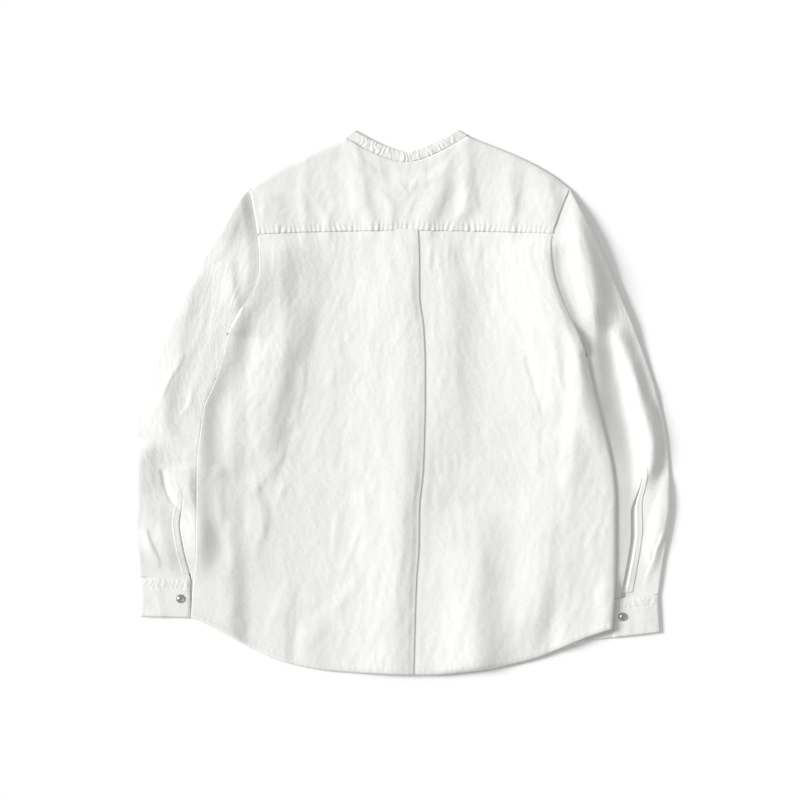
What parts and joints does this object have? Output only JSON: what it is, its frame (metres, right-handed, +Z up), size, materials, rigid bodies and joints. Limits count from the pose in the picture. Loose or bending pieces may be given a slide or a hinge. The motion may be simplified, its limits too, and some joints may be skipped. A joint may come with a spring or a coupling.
{
  "type": "mandarin collar shirt",
  "caption": "Long-sleeved linen shirt with a narrow band collar, back yoke, centre back pleat and snapped cuffs, lying flat on its front.",
  "frame": {"origin": "centre of the laid-out shirt, on the surface that it lies on", "axes": "+Y from the hem towards the neck, +X towards the wearer's right sleeve, +Z up, away from the surface and out of the back panel"},
  "size_m": [0.7531, 0.763, 0.0149],
  "materials": {
    "linen": "matt plain-weave linen, off-white",
    "linen_inside": "matt plain-weave linen, off-white",
    "stud_metal": "nickel-plated press stud caps, slightly worn"
  },
  "bodies": {
    "root": {"back": "linen", "yoke": "linen", "collar": "linen", "sleeve_left": "linen", "sleeve_right": "linen", "slit_binding_left": "linen", "slit_binding_right": "linen", "cuff_left": "linen", "cuff_right": "linen", "front_left": "linen_inside", "front_right": "linen_inside", "front_band_left": "linen_inside", "front_band_right": "linen_inside", "front_stud_1": "stud_metal", "front_stud_2": "stud_metal", "front_stud_3": "stud_metal", "front_stud_4": "stud_metal", "front_stud_5": "stud_metal", "front_stud_6": "stud_metal", "cuff_stud_left": "stud_metal", "cuff_stud_right": "stud_metal"}
  },
  "joints": []
}
